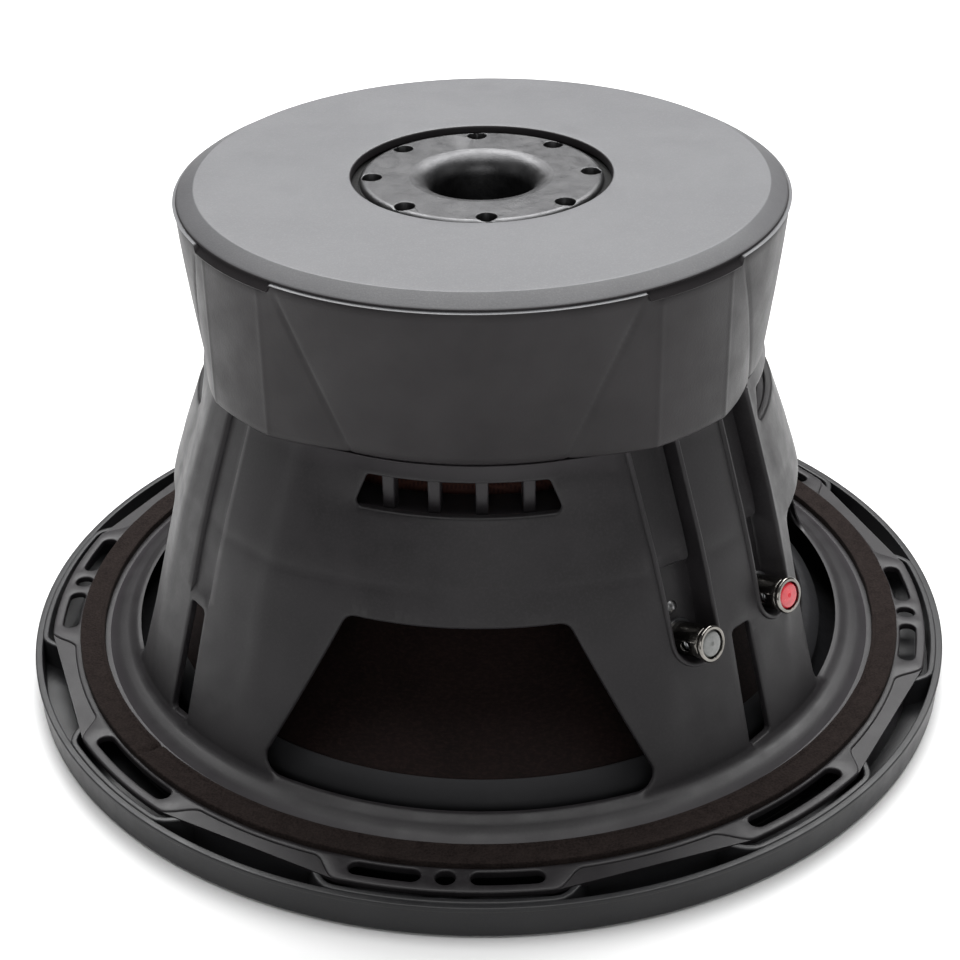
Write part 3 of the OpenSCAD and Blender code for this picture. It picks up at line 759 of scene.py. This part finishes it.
def seat_parts():
    """Seat for the top plate, with notches where the terminal channels run out."""

    def notch(i, turn, r, z):
        return (min(r, crown_r - 10) if in_channel(turn, r) else r), z

    in_r, low, high = 62, shoulder_z - 4, shoulder_z - 0.05
    outline = soften([(in_r, low, 0.6), (crown_r - 2.6, low, 0), (crown_r - 1.2, high, 0), (in_r, high, 0.6)])
    return lathe_parts(outline, 360, notch)


def landing_parts():
    """Landing that the spider is glued to, and the four bars in each vent."""
    z, in_r, tuck = shoulder_z - 20.2, 80, 1.8
    outline = soften(
        [(in_r, z, 0.5), (wall_r(z) - tuck, z, 0), (wall_r(z + 3) - tuck, z + 3, 0), (in_r, z + 3, 0.8)]
    )

    def pull_in(i, turn, r, z):
        if in_channel(turn, r):
            return min(r, wall_r(z) - 9.5), z
        return (min(r, wall_r(z) - tuck + min(0.0, relief(turn, z))) if r > 90 else r), z

    parts = [lathe_parts(outline, 360, pull_in)]
    for side in range(4):
        for bar in (-13.4, -4.5, 4.5, 13.4):
            box = block_parts((-1.95, -92.5, z + 2.5), (1.95, -88, shoulder_z - 3.5), 0.7)
            parts.append(moved(box, Matrix.Rotation(math.radians(90 * side + bar), 3, "Z")))
    return joined(*parts)


def tab_share(a, low, high):
    return ease((high - a) / (high - low))


def plate_r(turn):
    share = max(tab_share(away(turn, 90), 12.2, 16), tab_share(away(turn - 45, 90), 8.6, 12.6))
    return mix(plate_base_r, plate_tab_r, share)


def outline_loop(grow, count=720):
    """The flange's outline, moved outwards along its own normal."""
    base = [Vector(polar(plate_r(360 * i / count), 360 * i / count)) for i in range(count)]
    made = []
    for i, p in enumerate(base):
        along = base[(i + 1) % count] - base[i - 1]
        out = Vector((along.y, -along.x)).normalized()
        made.append(tuple(p + out * grow))
    return made


def slot_loop(first, last, half, gap):
    """Outline of a slot along the bolt circle with round ends, moved outwards by gap."""
    w = half + gap
    made = []
    for turn, start in ((last, 0), (first, 180)):
        x, y = polar(bolt_r, turn)
        for k in range(11):
            a = math.radians(turn - 90 + start + 180 * k / 10)
            made.append((x + w * math.cos(a), y + w * math.sin(a)))
        if last > first:
            ends = np.linspace(turn, first if start == 0 else last, 8)[1:-1]
            r = bolt_r - w if start == 0 else bolt_r + w
            made += [polar(r, t) for t in ends]
    return made


BOLT_HOLES = [
    # first turn, last turn, half width
    (0, 0, 3.1),
    (3.9, 10.3, 2.8),
    (-10.3, -3.9, 2.8),
    (38.4, 51.6, 2.8),
]


def plate_parts():
    """Flange plate with its tabs, slots and holes, and every edge rounded."""
    flat, drops, lines, cuts = [], [], [], []
    edge = 0.6

    def ring(points, drop):
        start = len(flat)
        flat.extend(points)
        drops.extend([drop] * len(points))
        loop = list(range(start, len(flat)))
        lines.append(loop + loop[:1])
        return loop

    for gap in [s * edge for s in EDGE_STEPS]:
        ring(outline_loop(-gap), edge_drop(gap, edge))
    in_r = foot_r + 6
    hole = ring([polar(in_r, t) for t in range(0, 360, 2)], 0.0)
    cuts.append([flat[i] for i in hole])
    for r in (in_r + 4, in_r + 8, gasket_out_r - 4, gasket_out_r):
        ring([polar(r, t) for t in np.arange(0, 360, 1.5)], 0.0)
    for side in range(4):
        for first, last, half in BOLT_HOLES:
            for gap in [s * edge for s in EDGE_STEPS]:
                loop = ring(slot_loop(first + 90 * side, last + 90 * side, half, gap), edge_drop(gap, edge))
                if gap == 0:
                    cuts.append([flat[i] for i in loop])
    faces = triangles(flat, lines, cuts)
    n = len(flat)
    top = [(x, y, flange_z - d) for (x, y), d in zip(flat, drops)]
    under = [(x, y, flange_under + d) for (x, y), d in zip(flat, drops)]
    skins = [tuple(f) for f in faces] + [tuple(i + n for i in reversed(f)) for f in faces]
    return top + under, skins + [(b, a, a + n, b + n) for a, b in border(faces)]


add_mesh("frame_wall", *wall_shell(), basket_black, BASKET, ["frame"], "basket")
add_mesh("frame_flange", *plate_parts(), basket_black, BASKET, ["frame"], "basket")
seat_and_landing = joined(seat_parts(), landing_parts())
add_mesh("frame_seat_and_landing", *seat_and_landing, basket_black, BASKET, ["frame"], "basket")

# ---------------------------------------------------------------- trim ring


def trim_parts():
    """The ring's face, its outer wall with a lip, and the wall that follows the flange's outline."""
    out_r = trim_r - 0.6
    top = 11.8
    in_r = 140.4
    ring = soften(
        [
            (in_r, 0.0, 0.8),
            (out_r, 0.0, 1.2),
            (out_r, top - 1.9, 0.15),
            (trim_r, top - 1.5, 0.3),
            (trim_r, top, 0.55),
            (out_r - 1.9, top, 0.5),
            (out_r - 1.9, 2.2, 0.8),
            (in_r + 3, 2.2, 0.6),
            (in_r + 3, flange_under - 1.5, 0.3),
            (in_r, flange_under - 1.5, 0.5),
        ],
        5,
    )
    wall_top = flange_z - 0.9
    rows = []
    section = soften([(1.7, 1.0, 0), (1.7, wall_top, 0.7), (3.9, wall_top, 0.7), (3.9, 1.0, 0)], 5)
    for grow, z in section:
        loop = []
        for x, y in outline_loop(grow):
            reach = min(1.0, (out_r - 0.3) / math.hypot(x, y))
            loop.append((x * reach, y * reach, z))
        rows.append(loop)
    count = len(rows[0])
    points = [p for row in rows for p in row]
    faces = []
    for i in range(len(rows)):
        j = (i + 1) % len(rows)
        for k in range(count):
            m = (k + 1) % count
            faces.append((i * count + k, i * count + m, j * count + m, j * count + k))
    return joined(lathe_parts(ring, 360), (points, faces))


add_mesh("trim_ring_body", *trim_parts(), trim_black, BASKET, ["trim_ring"], "trim")

# ---------------------------------------------------------------- gasket


def gasket_parts():
    inner_r = gasket_out_r - 8.7
    h = gasket_top - flange_z
    outline = soften(
        [
            (inner_r, flange_z, 0),
            (gasket_out_r, flange_z, 0),
            (gasket_out_r, flange_z + h - 0.1, 0.7),
            (gasket_out_r - 4, flange_z + h - 0.35, 0),
            (inner_r + 1.6, flange_z + h - 0.35, 0.3),
            (inner_r + 1.0, flange_z + h, 0.3),
            (inner_r, flange_z + h - 0.1, 0.5),
        ],
        4,
    )
    phases = [(random.uniform(0, 6.3), random.randint(5, 60), random.uniform(0.02, 0.06)) for _ in range(10)]
    joint = -45.5

    def worn(i, turn, r, z):
        wave = sum(size * math.sin(count * math.radians(turn) + phase) for phase, count, size in phases)
        if z > flange_z + 0.5:
            z += 0.35 * wave - 0.9 * math.exp(-(((turn - 360 - joint + 0.06 * (r - inner_r)) / 0.35) ** 2))
            z = min(z, gasket_top)
        return r + wave * 0.6 - (0.6 if r > gasket_out_r - 0.5 else 0) * abs(wave), z

    return lathe_parts(spaced(outline, 1.2), 1080, worn)


add_mesh("gasket_ring", *gasket_parts(), gasket_foam, BASKET, ["rear_gasket"], "foam")

# ---------------------------------------------------------------- magnet boot


def boot_parts():
    """Top with its opening, a sloping shoulder, sides that taper in, and a pillar on each corner."""
    low_z, top_side = shoulder_z + 0.5, overall_h - 4.2
    hole_r = 42.3
    under_z, in_r = overall_h - 3, magnet_r + 0.3
    face, shoulder, drop = 8.4, 11.6, 2.4
    head = soften(
        [
            (in_r, under_z, 0),
            (hole_r, under_z, 0.4),
            (hole_r, overall_h, 0.9),
            (boot_r - 7, overall_h, 1.3),
            (boot_r, overall_h - 3.6, 0.45),
        ],
        6,
    )
    head = spaced(head, 3.0, closed=False)
    rim = [(boot_r, top_side + 0.3), (boot_r - 0.15, top_side), (boot_r - 0.7, top_side - 0.2)]
    side = [(boot_r - 0.5, z) for z in np.linspace(top_side - 1.2, low_z + 0.8, 26)]
    foot = [(boot_r - 0.7, low_z + 0.25), (boot_r - 1.3, low_z), (in_r, low_z)]
    outline = head + rim + side + foot
    first_rim = len(head)
    first_side = first_rim + len(rim)
    first_foot = first_side + len(side)

    def side_r(a, z):
        """Radius of the side at a height and a turn away from the middle of a pillar."""
        t = min(1.0, max(0.0, (top_side - z) / (top_side - low_z)))
        plain = boot_r - 0.55 - 5.4 * t**1.25
        flank = mix(11.2, 24.5, t**0.9)
        share = min(1.0, max(0.0, (flank - a) / (flank - face)))
        crease = 0.45 * math.exp(-(((a - flank) / 0.45) ** 2)) * ease(t * 6)
        ridge = 0.12 * math.exp(-(((a - face) / 0.5) ** 2))
        return mix(plain, boot_r - 0.45, share) - crease + ridge

    def shape(i, turn, r, z):
        a = away(turn - 45, 90)
        if first_rim <= i < first_side:
            z -= drop * ease((shoulder - a) / 0.8)
            return (r if r == boot_r else r - 0.3 * ease((a - shoulder) / 0.8)), z
        if i >= first_side:
            z -= drop * ease((shoulder - a) / 0.8) * ease((z - top_side + 12) / 12)
            if i >= first_foot:
                return (r if r < magnet_r + 1 else side_r(a, low_z) + r - (boot_r - 0.5)), z
            return side_r(a, z), z
        return r, z

    return lathe_parts(outline, 1080, shape)


add_mesh("boot_body", *boot_parts(), boot_rubber, BASKET, ["magnet_boot"], "boot_rubber")


# ---------------------------------------------------------------- cone, surround, spider, springs and leads

cone_r, cone_z, cone_t = trim_r - 44, flange_z + 1, 1.4
former_out_r, neck_z = 32.6, shoulder_z - 38
cone_slope = (neck_z - cone_z) / (cone_r - former_out_r)
cone_drop = cone_t * math.hypot(1, cone_slope)
roll_r, roll_w, roll_d, roll_t = cone_r + 10, 18.6, 8.6, 1.2
dust_r = 48.0


def cone_back(r):
    return cone_z + cone_slope * (cone_r - r)


def cone_parts():
    neck = former_out_r + 1.2
    outline = soften(
        [
            (cone_r, cone_z - cone_drop, 0.2),
            (cone_r, cone_z, 0.2),
            (neck, cone_back(neck), 0.8),
            (neck, neck_z + 3.4, 0.4),
            (former_out_r, neck_z + 3.4, 0.2),
            (former_out_r, neck_z - cone_drop, 0.2),
        ]
    )
    return lathe_parts(spaced(outline, 4), 256)


def dust_parts():
    """Domed cap in the middle of the cone, glued on by its rim."""
    rise = dust_r * 0.35
    ball = (dust_r**2 + rise**2) / (2 * rise)
    edge_z = cone_back(dust_r) - cone_drop
    low_z = edge_z - cone_slope * 3
    turns = np.linspace(0, math.asin(dust_r / ball), 28)[1:]
    dome = [(ball * math.sin(a), edge_z - rise + ball * (1 - math.cos(a))) for a in turns]
    skin = [(0.3, dome[0][1]), *dome, (dust_r + 3, low_z)]
    return lathe_parts([(r, z - 0.9) for r, z in skin] + skin[::-1], 200)


def surround_parts():
    """Half roll of rubber between the flange and the cone, with a lip glued to each."""
    lip_in = cone_r - 6

    def arc(grow, first, last):
        wide, deep = roll_w / 2 + grow, roll_d + grow
        turns = np.radians(np.linspace(first, last, 28))
        return [(roll_r + wide * math.cos(a), flange_under - deep * math.sin(a)) for a in turns]

    outline = [(plate_base_r - 2, flange_under - 1.1), (plate_base_r - 2, flange_under), *arc(0, 0, 180)]
    outline += [
        (roll_r - roll_w / 2, cone_z + 0.44),
        (lip_in + 0.5, cone_back(lip_in) + 1.0),
        (lip_in, cone_back(lip_in) + 0.7),
        (lip_in, cone_back(lip_in)),
        (cone_r, cone_z),
        (cone_r, cone_z - cone_drop),
        (roll_r - roll_w / 2 - roll_t, flange_under),
    ]
    return lathe_parts(outline + arc(roll_t, 180, 8), 300)


def spider_parts():
    """Rings of waves pressed in cloth, from the former out to the landing."""
    half, z, out_r = 0.4, shoulder_z - 20.6, 91
    first, last, waves = former_out_r + 5.4, 79.0, 5
    neck = [(former_out_r, z + 4), (former_out_r + 0.8, z + 4), (former_out_r + 0.8, z + half)]
    line = [(mix(first, last, t), z + 2.8 * math.sin(2 * math.pi * waves * t)) for t in np.linspace(0, 1, 100)]
    top = [*neck, *((r, h + half) for r, h in line), (out_r, z + half)]
    under = [(out_r, z - half), *((r, h - half) for r, h in reversed(line)), (former_out_r, z - half)]
    return lathe_parts(top + under, 256)


def flex(obj, node):
    """Bakes a piece's transform into its mesh, and hides the CAD node that it stands for."""
    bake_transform(obj)
    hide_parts(node)


add_mesh("cone_body", *cone_parts(), cone_pulp, CONE, ["cone"], "cone_paper")
add_mesh("dust_cap_body", *dust_parts(), cap_black, CONE, ["dust_cap"], "cap_plastic")
surround = add_mesh("surround_roll", *surround_parts(), surround_rubber, None)
flex(surround, "surround")
spider = add_mesh("spider_waves", *spider_parts(), spider_cloth, None)
flex(spider, "spider")

# Local frame of the leg with the terminals: +Z is the outward normal, +Y runs up the wall
ON_LEG = (
    Matrix.Rotation(math.radians(leg_turn), 4, "Z")
    @ Matrix.Translation((0, -wall_r(post_z), post_z))
    @ Matrix.Rotation(math.pi / 2 - post_tilt, 4, "X")
)


def add_spring(x, name):
    """Coil spring between a terminal's bore and its push cap."""
    low, high, turns, coil_r, wire_r = -4.1, 0.0, 4, 3.2, 0.35
    path = []
    for t in np.linspace(0, 1, turns * 28 + 1):
        a = 2 * math.pi * turns * t
        path.append(ON_LEG @ Vector((x + coil_r * math.cos(a), coil_r * math.sin(a), mix(low, high, t))))
    obj = add_mesh(name + "_wire", *tube_parts(path, wire_r, 8), spring_steel, None)
    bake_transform(obj)
    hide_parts(name)


def add_lead(side, name):
    """Braided lead from a terminal's tag to its eyelet in the cone, with slack for the cone's travel."""
    reach, lead_r, eye_x, eye_r = 24.5, 1.1, 12, dust_r + 6
    tag_y, tag_z = reach * math.cos(post_tilt) - wall_r(post_z), post_z - reach * math.sin(post_tilt)
    tag = Vector((side * post_x, tag_y, tag_z))
    eye = Vector((side * eye_x, -eye_r, cone_back(eye_r - 4) + lead_r + 0.4))
    around = Matrix.Rotation(math.radians(leg_turn), 3, "Z")
    path = []
    for t in np.linspace(0, 1, 49):
        s, lift = ease(t), math.sin(math.pi * t)
        y, z = mix(tag.y, eye.y, t + 0.1 * lift), mix(tag.z, eye.z, s) + 9 * lift
        path.append(around @ Vector((mix(tag.x, eye.x, s), y, z)))
    obj = add_mesh(name + "_braid", *tube_parts(path, lead_r, 16), tinsel, None)
    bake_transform(obj)
    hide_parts(name)


add_spring(post_x, "cap_spring_positive")
add_spring(-post_x, "cap_spring_negative")
add_lead(1, "tinsel_lead_positive")
add_lead(-1, "tinsel_lead_negative")

# ---------------------------------------------------------------- CAD nodes that show: finish and rounded edges


def dress(node, material, edge=0.0):
    """Gives a CAD node its material, and rounds its edges with modifiers."""
    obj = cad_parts[node]
    obj.data.materials.clear()
    obj.data.materials.append(material)
    if edge:
        weld = obj.modifiers.new("weld", "WELD")
        weld.merge_threshold = 0.005 * MM
        bevel = obj.modifiers.new("bevel", "BEVEL")
        bevel.width = edge * MM
        bevel.segments = 3
        bevel.limit_method = "ANGLE"
        bevel.angle_limit = math.radians(35)
        bevel.use_clamp_overlap = False
        bevel.harden_normals = True


for node, material, edge in (
    ("coil_former", former_foil, 0),
    ("voice_coil", copper, 0.3),
    ("top_plate", turned_steel, 0.4),
    ("front_magnet", magnet_ferrite, 0.6),
    ("rear_magnet", magnet_ferrite, 0.6),
    ("back_plate_and_pole", plate_steel, 0.35),
    ("frame_screws", screw_steel, 0.2),
    ("terminal_block", block_plastic, 0.25),
    ("terminal_rivets", rivet_metal, 0),
    ("terminal_post_positive", post_chrome, 0.15),
    ("terminal_post_negative", post_chrome, 0.15),
    ("push_cap_positive", red_insert, 0.15),
    ("push_cap_negative", grey_insert, 0.15),
    ("lead_eyelets", eyelet_brass, 0.15),
):
    dress(node, material, edge)

# ---------------------------------------------------------------- stage, light and camera


def add_stage():
    bpy.ops.mesh.primitive_plane_add(size=80, location=(0, 0, -0.0005))
    floor = bpy.context.object
    floor.name = "floor"
    p = Paint("floor_white", 0.9, specular=0.1)
    p.color(p.ramp(p.noise(400, 2), 0.3, 0.7, (0.82, 0.82, 0.82), (0.85, 0.85, 0.85)))
    floor.data.materials.append(p.material)


def add_light(name, place, target, size, power):
    """A rectangular soft light that faces its target."""
    data = bpy.data.lights.new(name, "AREA")
    data.shape = "RECTANGLE"
    data.size, data.size_y = size
    data.energy = power
    obj = bpy.data.objects.new(name, data)
    obj.location = place
    obj.rotation_mode = "QUATERNION"
    obj.rotation_quaternion = (Vector(target) - Vector(place)).to_track_quat("-Z", "Y")
    bpy.context.scene.collection.objects.link(obj)


def add_overhead(strength, width):
    """Light from a wide, bright ceiling, the same over the whole floor."""
    data = bpy.data.lights.new("ceiling", "SUN")
    data.energy = strength
    data.angle = math.radians(width)
    obj = bpy.data.objects.new("ceiling", data)
    obj.rotation_euler = (math.radians(-6), 0, 0)
    bpy.context.scene.collection.objects.link(obj)


def add_world():
    world = bpy.data.worlds.new("studio")
    world.use_nodes = True
    background = world.node_tree.nodes["Background"]
    background.inputs["Color"].default_value = (1, 1, 1, 1)
    background.inputs["Strength"].default_value = 0.12
    bpy.context.scene.world = world


def add_camera():
    """The photograph's viewing angle: 30.3 degrees down, with a long lens."""
    aim, swing, tilt, roll = 5.3, 0.21, 30.34, 0.95
    distance, height = 0.5857, 0.4052
    data = bpy.data.cameras.new("camera")
    data.lens = 72.0
    data.sensor_width = 36.0
    data.clip_start = 0.01
    obj = bpy.data.objects.new("camera", data)
    a = math.radians(aim)
    place = Matrix.Translation((distance * math.sin(a), -distance * math.cos(a), height))
    turn = Matrix.Rotation(math.radians(aim + swing), 4, "Z") @ Matrix.Rotation(math.radians(90 - tilt), 4, "X")
    obj.matrix_world = place @ turn @ Matrix.Rotation(math.radians(-roll), 4, "Z")
    bpy.context.scene.collection.objects.link(obj)
    bpy.context.scene.camera = obj


add_stage()
add_world()
add_overhead(2.5, 52)
add_light("back_soft", (0.0, 1.2, 1.6), (0, -0.1, 0.17), (2.2, 0.8), 66)
add_light("left_soft", (-1.4, -0.5, 0.8), (0, 0, 0.08), (0.6, 1.0), 1.2)
add_light("right_soft", (1.4, -0.3, 0.75), (0, 0, 0.08), (0.5, 1.0), 1.2)
add_light("front_soft", (0.2, -1.7, 0.75), (0, 0, 0.08), (1.3, 0.7), 6)
add_camera()
bpy.context.scene.view_settings.view_transform = "Standard"
